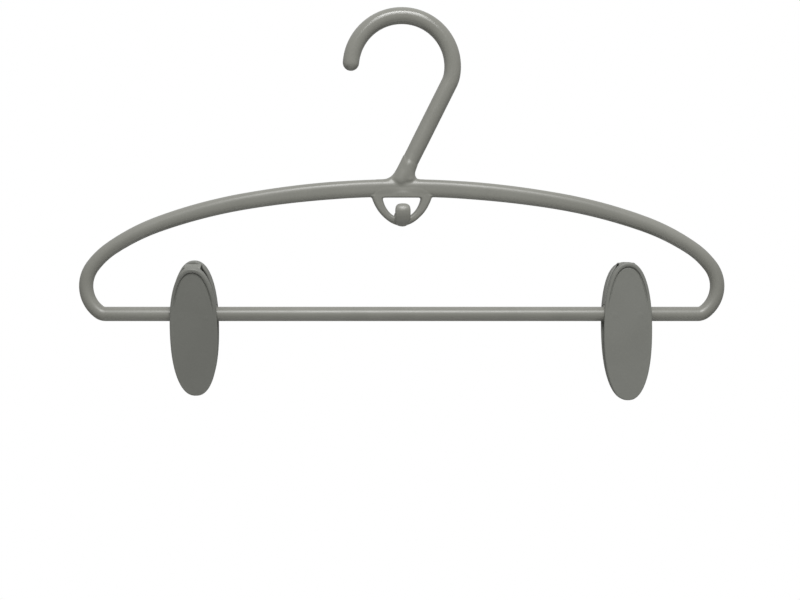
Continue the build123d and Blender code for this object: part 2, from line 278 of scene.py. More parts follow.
# ---- materials --------------------------------------------------------------------------------
def moulded(name, dark, light, rough, grain=0.30, grain_size=2600.0, fleck=0.035, polish=None):
    """Moulded plastic: cloudy pigment, fine flecks, satin grain from the tool, uneven gloss."""
    mat = bpy.data.materials.new(name)
    mat.use_nodes = True
    nt = mat.node_tree
    bsdf = nt.nodes["Principled BSDF"]
    bsdf.inputs["IOR"].default_value = 1.46
    new, link = nt.nodes.new, nt.links.new
    coord = new("ShaderNodeTexCoord")

    def noise(scale, detail, rough_, distort=0.0):
        t = new("ShaderNodeTexNoise")
        t.inputs["Scale"].default_value = scale
        t.inputs["Detail"].default_value = detail
        t.inputs["Roughness"].default_value = rough_
        t.inputs["Distortion"].default_value = distort
        link(coord.outputs["Object"], t.inputs["Vector"])
        return t

    clouds = noise(22.0, 3.0, 0.55, 0.6)
    ramp = new("ShaderNodeValToRGB")
    ramp.color_ramp.elements[0].position = 0.32
    ramp.color_ramp.elements[0].color = (*dark, 1)
    ramp.color_ramp.elements[1].position = 0.68
    ramp.color_ramp.elements[1].color = (*light, 1)
    link(clouds.outputs["Fac"], ramp.inputs["Fac"])
    specks = noise(900.0, 2.0, 0.6)
    speck_range = new("ShaderNodeMapRange")
    speck_range.inputs["From Min"].default_value = 0.3
    speck_range.inputs["From Max"].default_value = 0.7
    speck_range.inputs["To Min"].default_value = 1 - fleck
    speck_range.inputs["To Max"].default_value = 1 + fleck
    link(specks.outputs["Fac"], speck_range.inputs["Value"])
    mul = new("ShaderNodeVectorMath")
    mul.operation = "SCALE"
    link(ramp.outputs["Color"], mul.inputs[0])
    link(speck_range.outputs["Result"], mul.inputs["Scale"])
    link(mul.outputs["Vector"], bsdf.inputs["Base Color"])
    # gloss: patchy, from handling and from the tool's polish
    patches = noise(60.0, 4.0, 0.6, 0.4)
    gloss = new("ShaderNodeMapRange")
    gloss.inputs["From Min"].default_value = 0.3
    gloss.inputs["From Max"].default_value = 0.7
    gloss.inputs["To Min"].default_value = rough - 0.035
    gloss.inputs["To Max"].default_value = rough + 0.035
    link(patches.outputs["Fac"], gloss.inputs["Value"])
    if polish is None:
        link(gloss.outputs["Result"], bsdf.inputs["Roughness"])
    else:
        # a part of the tool that is polished more: (z where it starts, z where it is full, change of roughness)
        split_ = new("ShaderNodeSeparateXYZ")
        link(coord.outputs["Object"], split_.inputs["Vector"])
        up = new("ShaderNodeMapRange")
        up.interpolation_type = "SMOOTHSTEP"
        up.inputs["From Min"].default_value = polish[0]
        up.inputs["From Max"].default_value = polish[1]
        up.inputs["To Min"].default_value = 0.0
        up.inputs["To Max"].default_value = polish[2]
        link(split_.outputs["Z"], up.inputs["Value"])
        add_ = new("ShaderNodeMath")
        add_.operation = "ADD"
        link(gloss.outputs["Result"], add_.inputs[0])
        link(up.outputs["Result"], add_.inputs[1])
        link(add_.outputs["Value"], bsdf.inputs["Roughness"])
    # grain and slight waviness
    fine = noise(grain_size, 2.0, 0.5)
    wave = noise(140.0, 2.0, 0.5)
    b1 = new("ShaderNodeBump")
    b1.inputs["Strength"].default_value = grain
    b1.inputs["Distance"].default_value = 0.00004
    link(fine.outputs["Fac"], b1.inputs["Height"])
    b2 = new("ShaderNodeBump")
    b2.inputs["Strength"].default_value = 0.16
    b2.inputs["Distance"].default_value = 0.00012
    link(wave.outputs["Fac"], b2.inputs["Height"])
    link(b1.outputs["Normal"], b2.inputs["Normal"])
    link(b2.outputs["Normal"], bsdf.inputs["Normal"])
    return mat


def srgb(r, g, b, k=1.0):
    out = []
    for v in (r, g, b):
        v = v / 255
        out.append(k * (v / 12.92 if v <= 0.04045 else ((v + 0.055) / 1.055) ** 2.4))
    return tuple(out)


frame_mat = moulded("frame_plastic", srgb(114, 114, 108), srgb(119, 119, 113), 0.34, polish=(-0.085, -0.02, -0.13))
clip_mat = moulded("clip_plastic", srgb(105, 106, 101), srgb(109, 110, 105), 0.45, grain=0.45, grain_size=2200.0, fleck=0.03)
sleeve_mat = moulded("sleeve_plastic", srgb(120, 121, 113), srgb(126, 127, 119), 0.33, grain=0.18)
spring_mat = moulded("spring_band", srgb(106, 107, 101), srgb(111, 112, 106), 0.42, grain=0.25)
pad_mat = moulded("grip_rubber", srgb(92, 93, 88), srgb(99, 100, 94), 0.66, grain=0.6, grain_size=1500.0, fleck=0.05)

# ---- the frame's lines, as in the CAD model ---------------------------------------------------
HOOK_C, HOOK_R, TIP_DEG = (0.05, -26.50), 31.6, 175.6
TURN_C, TURN_R = (0.05 + 11.6 * math.cos(math.radians(-8)), -26.50 + 11.6 * math.sin(math.radians(-8))), 20.0
STEM_DEG = -26.57
STEM_FOOT = (-0.953, -97.8)
STEM_UP = (-math.sin(math.radians(STEM_DEG)), math.cos(math.radians(STEM_DEG)))
ARCH_R, ARCH_Z = 575.693, -101.863
CROWN_HALF = math.radians(2.2)
ARCS = [(575.693, 2.2 + 7.488), (314.237, 10.126), (131.751, 14.387)]
BENDS = [(49.177, 19.176), (20.185, 88.995), (7.004, 37.628)]
BAR_R, BAR_Z = 4.375, -180.0
TAPER = np.array([(0.0, 5.45), (0.2, 5.34), (0.4, 5.12), (0.6, 4.95), (0.8, 4.72), (1.0, 4.375)])
TAPER_LEN = sum(r * math.radians(t) for r, t in ARCS) - ARCH_R * CROWN_HALF
HALF_Y = 4.75             # half depth of the arch, which is flatter in front than round
HOOK_A, HOOK_B, HOOK_N = 5.12, 4.85, 2.15
CUT = math.radians(3.3)   # where the crown's detailed mesh meets the swept rods
STEM_CUT_Z = -79.0
_taper_fine = np.array(spline(TAPER.tolist(), 10))


def arch_section(s):
    """Half height, half depth and squareness of the arch, s millimetres along it from the crown."""
    t = np.clip((np.asarray(s, float) - ARCH_R * CROWN_HALF) / TAPER_LEN, 0, 1)
    a = np.interp(t, _taper_fine[:, 0], _taper_fine[:, 1])
    f = smooth(0.12, 1.0, t)
    return a, HALF_Y + (BAR_R - HALF_Y) * f, 3.0 - 1.0 * f


neck_left = [(1.2, -82.0), (-3.0, -90.3), (-6.6, -94.6), (-10.2, -96.3), (-15.6, -96.75)]
neck_right = [(9.25, -88.3), (8.3, -91.0), (8.05, -92.6), (8.55, -94.9), (10.1, -96.3), (13.2, -96.85)]
loop_outer = [(18.9, -106.6), (17.3, -111.05), (14.55, -116.0), (9.96, -120.97), (5.0, -124.2), (0.0, -125.25)]
loop_inner = [(11.9, -107.75), (11.1, -111.05), (8.5, -115.9), (5.2, -118.9), (0.0, -120.3)]
plate_top = [(12.0, -101.0), (16.4, -103.4)]


def mirrored(pts):
    return list(pts) + [(-x, z) for x, z in reversed(pts) if abs(x) > 1e-6]


web_poly = spline(neck_left, 6) + [(-15.6, -102.0), (13.2, -102.0)] + list(reversed(spline(neck_right, 6)))
outer_right = [(0.0, plate_top[0][1] + 0.35)] + [(plate_top[0][0] - 2, plate_top[0][1] + 0.3), plate_top[0], plate_top[1]] + spline(loop_outer, 6, (-0.28, -1), (-1, 0))
loop_poly = [(-x, z) for x, z in outer_right if abs(x) > 1e-6] + list(reversed(outer_right))
inner_right = spline(loop_inner, 6, (-0.15, -1), (-1, 0))
inner_poly = [(-x, z) for x, z in inner_right if abs(x) > 1e-6] + list(reversed(inner_right))
inner_poly = rounded(inner_poly, 0, 1.5)
inner_poly = rounded(inner_poly, len(inner_poly) - 1, 1.5)

# peg, side view (y, z) and front view (x, z)
LOOP_HALF, PEG_W, PEG_T, VALLEY_W, VALLEY_Z, PEG_FLOOR, PEG_TOP = 5.1, 9.3, 4.8, 10.8, -122.65, 3.15, -111.1
PEG_BACK = -LOOP_HALF - VALLEY_W
PEG_FRONT = PEG_BACK - PEG_T
VR = VALLEY_W / 2
VCY, VCZ = -LOOP_HALF - VR, VALLEY_Z + VR
UNDER = VALLEY_Z - PEG_FLOOR
HEEL = VCY - PEG_FRONT


def arc_pts(cx, cz, r, a0, a1, n):
    return [(cx + r * math.cos(math.radians(a0 + (a1 - a0) * k / n)), cz + r * math.sin(math.radians(a0 + (a1 - a0) * k / n))) for k in range(n + 1)]


nose = [(PEG_FRONT + 3.7 - 3.7 * math.cos(math.radians(9 * k)), PEG_TOP - 5.0 + 5.0 * math.sin(math.radians(9 * k))) for k in range(11)]
peg_side = ([(-LOOP_HALF + 3.0, UNDER)] + arc_pts(VCY, UNDER + HEEL, HEEL, -90, -180, 14) + nose
            + arc_pts(PEG_BACK - 1.1, PEG_TOP - 1.1, 1.1, 75, 0, 5)
            + arc_pts(VCY, VCZ, VR, 180, 360, 20) + [(-LOOP_HALF + 3.0, VCZ)])


peg_half = [(0.0, PEG_TOP), (2.2, PEG_TOP - 0.35), (3.8, PEG_TOP - 1.4), (4.5, PEG_TOP - 3.2), (4.65, PEG_TOP - 6.0), (4.65, PEG_TOP - 9.0), (4.4, PEG_TOP - 11.0), (3.5, PEG_TOP - 12.8), (1.9, PEG_TOP - 14.2), (0.0, UNDER)]
peg_right = spline(peg_half, 5, (1, 0), (-1, 0))
peg_front_view = [(-x, z) for x, z in peg_right if x > 1e-6] + list(reversed([q for q in peg_right if q[0] > -1e-6]))


def crown_shape(x, y, z):
    """The arch's middle with the stem's foot, the flat plate of the loop and the peg."""
    rx, rz = x, z - (ARCH_Z - ARCH_R)
    w = np.hypot(rx, rz) - ARCH_R
    s = ARCH_R * np.abs(np.arctan2(rx, rz))
    a, b, _ = arch_section(s)
    arch = super_dist(w, y, a, b, 3.0)
    px, pz = x - STEM_FOOT[0], z - STEM_FOOT[1]
    along = px * STEM_UP[0] + pz * STEM_UP[1]
    side = px * STEM_UP[1] - pz * STEM_UP[0]
    # the rod's foot swells a little and ends as a blunt nose on the arch's front
    swell = 0.85 * (1 - smooth(2.0, 20.0, along))
    stem = super_dist(side, y, HOOK_A, HOOK_B + swell, HOOK_N)
    stem = smax(stem, -(along + 3.6), 5.2)
    flat = poly_dist(x, z, web_poly)
    web = slab(flat, y, -3.7, 3.7, 2.5)
    # the foot is fuller on its right, up to the small fillet
    t = np.clip((-88.0 - z) / 7.8, 0, 1)
    reach = np.hypot(x - (4.5 - 0.2 * t), z + 88.0 + 7.8 * t)
    heel = super_dist(reach, y, 4.2, 5.2, 2.2)
    heel = smax(heel, flat + 0.2, 1.2)
    d = smin(stem, heel, 1.6)
    d = smin(d, web, 1.2)
    d = smin(d, arch, 0.7)
    # the plate lies flush in the arch's front, a little fuller below the stem; the ring's edges are rounder than the window's
    full = 0.62 * np.exp(-((x - 0.8) / 5.8) ** 2) * smooth(101.0, 105.6, -z)
    face = np.abs(y) - full
    plate = smax(slab(poly_dist(x, z, loop_poly), face, -4.7, 4.7, 2.0),
                 slab(-poly_dist(x, z, inner_poly), face, -4.7, 4.7, 0.8 + 1.2 * smooth(107.0, 110.0, -z)), 0.3)
    d = smin(d, plate, 0.45 + 0.75 * smooth(105.8, 107.2, -z))
    peg = slab(poly_dist(y - 0.045 * x * x, z, peg_side), x, -5.4, 5.4, 1.3)
    peg = smax(peg, poly_dist(x, z, peg_front_view), 0.9)
    d = smin(d, peg, 0.7)
    return d


def clip_mesh(verts, faces, cuts):
    """Cuts the mesh by planes (point, outward normal), dropping what lies outside. Returns points, faces and each cut's rim."""
    bm = bmesh.new()
    vs = [bm.verts.new(v) for v in verts.tolist()]
    for f in faces.tolist():
        try:
            bm.faces.new([vs[i] for i in f])
        except ValueError:
            pass
    for co, no in cuts:
        bmesh.ops.bisect_plane(bm, geom=bm.verts[:] + bm.edges[:] + bm.faces[:], plane_co=co, plane_no=no, clear_outer=True, dist=1e-5)
    loose = [v for v in bm.verts if not v.link_faces]
    bmesh.ops.delete(bm, geom=loose, context="VERTS")
    bm.verts.ensure_lookup_table()
    bm.verts.index_update()
    v = np.array([q.co[:] for q in bm.verts])
    f = [[q.index for q in face.verts] for face in bm.faces]
    rims = []
    for co, no in cuts:
        on = set()
        for e in bm.edges:
            if e.is_boundary and all(abs((q.co - Vector(co)).dot(Vector(no))) < 1e-3 for q in e.verts):
                on.update(q.index for q in e.verts)
        rims.append(sorted(on))
    bm.free()
    return v, f, rims


class Build:
    """Collects points and faces of one mesh."""

    def __init__(self):
        self.v, self.f, self.n = [], [], 0

    def add(self, pts):
        first = self.n
        self.v.extend([tuple(p) for p in pts])
        self.n += len(pts)
        return list(range(first, self.n))


def section_ring(psi, a, b, n, ridge):
    """Offsets (in the plane, in depth) round one section, with the faint parting ridge of the two mould halves."""
    c, s = np.cos(psi), np.sin(psi)
    r = (np.abs(c / a) ** n + np.abs(s / b) ** n) ** (-1 / n)
    away = np.abs(s)
    bump = ridge * np.clip(1 - away / 0.05, 0, 1)
    return (r + bump) * c, (r + bump) * s


PSI = []
for k in range(40):
    q = 2 * math.pi * k / 40
    PSI.append(q)
    if k in (0, 20):
        PSI += [q + 0.022, q + 0.05]
    if k in (19, 39):
        PSI += [2 * math.pi * (k + 1) / 40 - 0.05, 2 * math.pi * (k + 1) / 40 - 0.022]
PSI = np.array(sorted(PSI))


def sweep_rod(build, stations):
    """Rings along a rod. Each station: centre (x, z), outward normal (nx, nz), a, b, n, ridge."""
    rings = []
    for (cx, cz), (nx, nz), a, b, n, ridge in stations:
        w, y = section_ring(PSI, a, b, n, ridge)
        rings.append(build.add(np.stack([cx + nx * w, y, cz + nz * w], 1)))
    m = len(PSI)
    for r0, r1 in zip(rings, rings[1:]):
        for i in range(m):
            j = (i + 1) % m
            build.f.append([r0[i], r0[j], r1[j], r1[i]])
    return rings


def stitch(build, ring_a, ring_b, centre, nrm, flip):
    """Closes the band between two loops round the same axis, by their angles."""
    pts = np.array(build.v)

    def order(idx):
        p = pts[idx] - np.array([centre[0], 0, centre[1]])
        w = p[:, 0] * nrm[0] + p[:, 2] * nrm[1]
        ang = np.arctan2(p[:, 1], w) % (2 * math.pi)
        o = np.argsort(ang)
        return [idx[i] for i in o], ang[o]

    a, aa = order(ring_a)
    b, ba = order(ring_b)
    i = j = 0
    na, nb = len(a), len(b)
    while i < na or j < nb:
        ta = aa[(i + 1) % na] + (2 * math.pi if i + 1 >= na else 0) if i < na else 1e9
        tb = ba[(j + 1) % nb] + (2 * math.pi if j + 1 >= nb else 0) if j < nb else 1e9
        if ta <= tb:
            tri = [a[i % na], a[(i + 1) % na], b[j % nb]]
            i += 1
        else:
            tri = [a[i % na], b[(j + 1) % nb], b[j % nb]]
            j += 1
        if len(set(tri)) == 3:
            build.f.append(tri[::-1] if flip else tri)


def make_frame():
    H = 0.5
    verts, faces = surface(crown_shape, (-36.5, -21.6, -126.8), (36.5, 5.9, -75.5), H)
    cuts = []
    for sgn in (-1, 1):
        co = (sgn * ARCH_R * math.sin(CUT), 0, ARCH_Z - ARCH_R * (1 - math.cos(CUT)))
        cuts.append((co, (sgn * math.cos(CUT), 0, -math.sin(CUT))))
    k = (STEM_CUT_Z - STEM_FOOT[1]) / STEM_UP[1]
    stem_cut = (STEM_FOOT[0] + STEM_UP[0] * k, STEM_CUT_Z)
    cuts.append(((stem_cut[0], 0, stem_cut[1]), (STEM_UP[0], 0, STEM_UP[1])))
    verts, faces, rims = clip_mesh(verts, faces, cuts)
    build = Build()
    build.add(verts)
    n_crown = build.n
    build.f = faces
    # hook and stem, from the ball end to the cut
    st = []
    a0 = math.radians(TIP_DEG)
    tip = (HOOK_C[0] + HOOK_R * math.cos(a0), HOOK_C[1] + HOOK_R * math.sin(a0))
    tdir = (-math.sin(a0), math.cos(a0))
    nrm = (math.cos(a0), math.sin(a0))
    for j in range(9):
        ph = math.radians(86 - 86 * j / 8 * 0.995)
        off = HOOK_A * math.sin(ph)
        st.append(((tip[0] + tdir[0] * off, tip[1] + tdir[1] * off), nrm, HOOK_A * math.cos(ph), HOOK_B * math.cos(ph), HOOK_N, 0.0))
    count = 78
    for j in range(1, count + 1):
        a = math.radians(TIP_DEG + (-8 - TIP_DEG) * j / count)
        st.append(((HOOK_C[0] + HOOK_R * math.cos(a), HOOK_C[1] + HOOK_R * math.sin(a)), (math.cos(a), math.sin(a)), HOOK_A + 0.13 * max(0.0, math.sin(a)) ** 2, HOOK_B, HOOK_N, 0.07 * min(1, j / 6)))
    for j in range(1, 8):
        a = math.radians(-8 + (STEM_DEG + 8) * j / 7)
        st.append(((TURN_C[0] + TURN_R * math.cos(a), TURN_C[1] + TURN_R * math.sin(a)), (math.cos(a), math.sin(a)), HOOK_A, HOOK_B, HOOK_N, 0.07))
    a = math.radians(STEM_DEG)
    start = (TURN_C[0] + TURN_R * math.cos(a), TURN_C[1] + TURN_R * math.sin(a))
    length = math.hypot(start[0] - stem_cut[0], start[1] - stem_cut[1]) - 0.7
    nrm = (math.cos(a), math.sin(a))
    for j in range(1, 27):
        q = length * j / 26
        st.append(((start[0] - STEM_UP[0] * q, start[1] - STEM_UP[1] * q), nrm, HOOK_A, HOOK_B, HOOK_N, 0.07 * min(1, (26 - j) / 4)))
    rings = sweep_rod(build, st)
    tip_i = build.add([(tip[0] + tdir[0] * HOOK_A, 0, tip[1] + tdir[1] * HOOK_A)])[0]
    m = len(PSI)
    for i in range(m):
        build.f.append([tip_i, rings[0][(i + 1) % m], rings[0][i]])
    stitch(build, rings[-1], rims[2], stem_cut, nrm, False)
    # arch, end bends and bar in one run, from the right cut to the left one
    st = []
    x, z, h = 0.0, ARCH_Z, 0.0
    s0 = 0.0
    first = CUT + 0.7 / ARCH_R
    right = []
    total = sum(r * math.radians(t) for r, t in ARCS)
    for idx, (r, t) in enumerate(ARCS + BENDS):
        turn = math.radians(t)
        cx, cz = x - r * math.sin(h), z - r * math.cos(h)
        begin = first if idx == 0 else 0.0
        pieces_ = max(3, int(math.ceil(r * (turn - begin) / (1.7 if idx < 3 else 0.9))))
        if idx == 5:
            pieces_ = 12
        for j in range(0 if idx == 0 else 1, pieces_ + 1):
            q = begin + (turn - begin) * j / pieces_
            s = s0 + r * q
            if idx < 3:
                a_, b_, n_ = (float(v) for v in arch_section(s))
            else:
                a_, b_, n_ = BAR_R, BAR_R, 2.0
            ridge = 0.07 * min(1.0, max(0.0, (s - ARCH_R * CUT - 1.0) / 8))
            right.append(((cx + r * math.sin(h + q), cz + r * math.cos(h + q)), (math.sin(h + q), math.cos(h + q)), a_, b_, n_, ridge))
        x, z = cx + r * math.sin(h + turn), cz + r * math.cos(h + turn)
        h += turn
        s0 += r * turn
    bar_x = x
    st = list(right)
    for j in range(1, 90):
        q = bar_x - 2 * bar_x * j / 90
        st.append(((q, BAR_Z), (0.0, -1.0), BAR_R, BAR_R, 2.0, 0.07))
    left = [((-p[0], p[1]), (-n_[0], n_[1]), a_, b_, e_, rg) for (p, n_, a_, b_, e_, rg) in reversed(right)]
    st += left
    rings = sweep_rod(build, st)
    c = math.sin(first), math.cos(first)
    centre = (ARCH_R * math.sin(CUT), ARCH_Z - ARCH_R * (1 - math.cos(CUT)))
    stitch(build, rims[1], rings[0], centre, c, False)
    stitch(build, rings[-1], rims[0], (-centre[0], centre[1]), (-c[0], c[1]), False)
    # one consistent winding, then normals
    bm = bmesh.new()
    vs = [bm.verts.new(p) for p in build.v]
    for f in build.f:
        try:
            bm.faces.new([vs[i] for i in f])
        except ValueError:
            pass
    bmesh.ops.recalc_face_normals(bm, faces=bm.faces[:])
    bm.normal_update()
    normals = np.array([v.normal[:] for v in bm.verts])
    me = bpy.data.meshes.new("hanger_body")
    for v in bm.verts:
        v.co *= MM
    open_edges = sum(1 for e in bm.edges if not e.is_manifold)
    print("frame mesh", len(bm.verts), "points", len(bm.faces), "faces", open_edges, "open edges")
    bm.to_mesh(me)
    bm.free()
    crown = np.array(build.v[:n_crown])
    g = unit(gradient(crown_shape, crown, 0.03))
    keep = (g * normals[:n_crown]).sum(1) > 0.5
    normals[:n_crown][keep] = g[keep]
    me.polygons.foreach_set("use_smooth", np.ones(len(me.polygons), bool))
    me.normals_split_custom_set_from_vertices(unit(normals).tolist())
    me.materials.append(frame_mat)
    ob = bpy.data.objects.new("hanger_body", me)
    bpy.context.scene.collection.objects.link(ob)
    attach(ob, "frame")
    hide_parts("hanger_frame")
    return ob


make_frame()

# ---- clips ------------------------------------------------------------------------------------
CLIPS = {"left": (-128.7, 13.0), "right": (139.3, -3.0)}
OVAL_A, OVAL_B, OVAL_N, OVAL_DROP = 14.75, 42.48, 2.3, 10.58
FACE_AT_BAR, FACE_DEG = 6.65, 4.2
PLATE_T, RIM_T, FRONT_RIM, REAR_RIM = 2.3, 1.6, 3.6, 4.6
LIP_W, LIP_H = 2.9, 1.0
SKIRT_IN, SKIRT_T = 2.1, 1.3
EAR_R, EAR_T, FRONT_EAR, REAR_EAR = 6.4, 2.9, 6.5, 10.0
BORE = 5.26
SQUEEZE = 12.0
FA = math.radians(FACE_DEG)
TOP = (OVAL_B - OVAL_DROP) / math.cos(FA)
BOTTOM = -(OVAL_B + OVAL_DROP) / math.cos(FA)


def oval(x, v, side=0.0, top=0.0, bottom=0.0):
    t, b = TOP - top, BOTTOM + bottom
    return super_dist(x, v - (t + b) / 2, OVAL_A - side, (t - b) / 2, OVAL_N)


def to_jaw(v, w):
    """Face coordinates (up the face, out of it) to the clip's (up, out)."""
    return v * math.cos(FA) - w * math.sin(FA), FACE_AT_BAR + v * math.sin(FA) + w * math.cos(FA)


def jaw_shape(front):
    rim_depth = FRONT_RIM if front else REAR_RIM
    ear_x = FRONT_EAR if front else REAR_EAR

    def f(x, v, w):
        out = oval(x, v)
        depth = PLATE_T + (rim_depth - PLATE_T) * smooth(0.0, 3.0, v)
        shell = slab(out, w, -depth, 0.0, 0.75)
        cavity = np.maximum(oval(x, v, RIM_T, RIM_T, RIM_T), w + PLATE_T)
        shell = smax(shell, -cavity, 0.35)
        # raised lip round the upper half, fading out at the bar, with the fine groove at its foot
        lip_in = oval(x, v, 2.0, LIP_W, 0.0)
        crown = np.clip(1 - ((out + 1.35) / 1.45) ** 2, 0, 1)
        high = LIP_H * np.clip((v - 1.0) / (TOP - 1.0), 0, 1) * (0.62 + 0.5 * crown)
        ring = smax(out, -lip_in, 0.3)
        lip = slab(ring, w, -1.2, high, 0.62)
        d = smin(shell, lip, 0.18)
        tube = np.hypot(lip_in + 0.16, w - 0.05) - (0.56 * smooth(1.0, 13.0, v) - 0.10)
        d = smax(d, -tube, 0.16)
        u, n = to_jaw(v, w)
        r = np.hypot(u, n)
        ear = slab(smax(r - EAR_R, -(n + 1.5), 0.5), np.abs(x), ear_x, ear_x + EAR_T, 0.35)
        d = smin(d, ear, 0.7)
        if not front:
            s_out = oval(x, v, SKIRT_IN, SKIRT_IN, SKIRT_IN)
            s_in = oval(x, v, SKIRT_IN + SKIRT_T, SKIRT_IN + SKIRT_T, SKIRT_IN + SKIRT_T)
            al = math.radians(SQUEEZE - FACE_DEG)
            skirt = smax(s_out, -s_in, 0.3)
            skirt = smax(skirt, 8.2 - v, 0.5)
            skirt = smax(skirt, 5.4 - np.abs(x), 0.5)
            stop = 0.45 - ((n + (FACE_AT_BAR - PLATE_T) + 0.03) * math.cos(al) - u * math.sin(al))
            skirt = smax(skirt, stop, 0.5)
            skirt = smax(skirt, w + 0.6, 0.1)
            d = smin(d, skirt, 0.4)
            # deep outer wall, open in its middle for the spring band
            wall = smax(out, -oval(x, v, RIM_T, RIM_T, RIM_T), 0.3)
            wall = smax(wall, -v, 0.5)
            wall = smax(wall, 5.4 - np.abs(x), 0.4)
            stop = 0.45 - ((n + (FACE_AT_BAR - FRONT_RIM) + 0.03) * math.cos(al) - u * math.sin(al))
            wall = smax(wall, stop, 0.7)
            wall = smax(wall, w + 0.6, 0.1)
            d = smin(d, wall, 0.25)
            # behind the spring band the rim reaches to the band's bend
            sill = smax(out, -oval(x, v, RIM_T, RIM_T, RIM_T), 0.2)
            sill = smax(sill, np.maximum(20.0 - v, np.abs(x) - 6.0), 0.2)
            sill = smax(sill, np.maximum(-(w + REAR_RIM + 0.12), w + 0.6), 0.25)
            d = smin(d, sill, 0.1)
        hole = np.minimum(r - BORE, np.maximum(r - 5.85, 12.95 - np.abs(x)))
        d = smax(d, -hole, 0.15)
        return d

    return f


def jaw_to_world(p, front, cx, tilt):
    """Clip coordinates (across, up, out) to the row frame."""
    t = math.radians(tilt)
    s = 1.0 if front else -1.0
    x, u, n = p[:, 0] * s, p[:, 1], p[:, 2] * s
    return np.stack([cx + x, -u * math.sin(t) - n * math.cos(t), BAR_Z + u * math.cos(t) - n * math.sin(t)], 1)


def face_to_jaw(p):
    u, n = to_jaw(p[:, 1], p[:, 2])
    return np.stack([p[:, 0], u, n], 1)


def turn_out(faces, verts, f, normals):
    """Winds the faces so that they agree with the normals."""
    faces = np.asarray(faces)
    a, b, c = (verts[faces[:, k]] for k in (0, 1, 2))
    g = np.cross(b - a, c - a)
    bad = (g * normals[faces[:, 0]]).sum(1) < 0
    faces = faces.copy()
    faces[bad] = faces[bad][:, ::-1]
    return faces


def local_mesh(f, lo, hi, h, relax=3):
    verts, faces = surface(f, lo, hi, h, relax)
    normals = unit(gradient(f, verts, 0.03))
    if (np.cross(verts[faces[:, 1]] - verts[faces[:, 0]], verts[faces[:, 2]] - verts[faces[:, 0]]) * normals[faces[:, 0]]).sum() < 0:
        faces = faces[:, ::-1]
    return verts, faces, normals


def place(name, mesh, front, side, body, node, material, convert=None):
    verts, faces, normals = mesh
    cx, tilt = CLIPS[side]
    p = verts if convert is None else convert(verts)
    q = verts + normals * 0.5
    q = q if convert is None else convert(q)
    wp = jaw_to_world(p, front, cx, tilt)
    wn = jaw_to_world(q, front, cx, tilt) - wp
    ob = make(name, wp, faces, wn, material)
    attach(ob, body)
    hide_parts(node)
    return ob


HJ = 0.42
front_jaw = local_mesh(jaw_shape(True), (-16.3, BOTTOM - 1.0, -10.0), (16.3, TOP + 1.0, 1.6), HJ)
rear_jaw = local_mesh(jaw_shape(False), (-16.3, BOTTOM - 1.0, -16.5), (16.3, TOP + 1.0, 1.6), HJ)
print("front jaw", len(front_jaw[0]), "rear jaw", len(rear_jaw[0]))


def pad_shape(x, u, n):
    plan_x, plan_u = np.abs(x) - 6.0 + 2.0, np.abs(u + 40.0) - 8.0 + 2.0
    plan = np.minimum(np.maximum(plan_x, plan_u), 0) + np.hypot(np.maximum(plan_x, 0), np.maximum(plan_u, 0)) - 2.0
    w = (n - FACE_AT_BAR) * math.cos(FA) - u * math.sin(FA)
    back = w + PLATE_T
    p, q = plan + 0.5, 0.18 - n + 0.5
    d = np.minimum(np.maximum(p, q), 0) + np.hypot(np.maximum(p, 0), np.maximum(q, 0)) - 0.5
    d = np.maximum(d, back)
    k = np.clip(np.round((u + 40.0) / 2.6), -2, 2)
    groove = smax(np.abs(u + 40.0 - 2.6 * k) - 0.45, n - (0.18 + 0.32), 0.15)
    return smax(d, -groove, 0.15)


pad = local_mesh(pad_shape, (-6.6, -48.8, -0.4), (6.6, -31.2, 3.6), 0.3)


def sleeve_mesh(cx):
    """Split bush: bore, outer barrel and two end rims, open along its underside."""
    r_in, r_out, rim, half, rim_x = BAR_R + 0.045, 5.20, 5.55, 14.0, 13.15
    prof = [(-half + 0.15, r_in), (half - 0.15, r_in), (half, r_in + 0.15), (half, rim - 0.22), (half - 0.07, rim - 0.07), (half - 0.22, rim),
            (rim_x + 0.1, rim), (rim_x, rim - 0.1), (rim_x, r_out + 0.02), (rim_x - 0.1, r_out)]
    prof += [(-x, r) for x, r in reversed(prof[3:])] + [(-half, r_in + 0.15)]
    gap = math.asin(1.5 / r_out) + 0.01
    steps = 56
    build = Build()
    rings = []
    for k in range(steps + 1):
        a = -math.pi / 2 + gap + (2 * math.pi - 2 * gap) * k / steps
        rings.append(build.add([(cx + x, r * math.cos(a), BAR_Z + r * math.sin(a)) for x, r in prof]))
    m = len(prof)
    for r0, r1 in zip(rings, rings[1:]):
        for i in range(m):
            j = (i + 1) % m
            build.f.append([r0[i], r0[j], r1[j], r1[i]])
    build.f.append(list(rings[0]))
    build.f.append(list(reversed(rings[-1])))
    return build


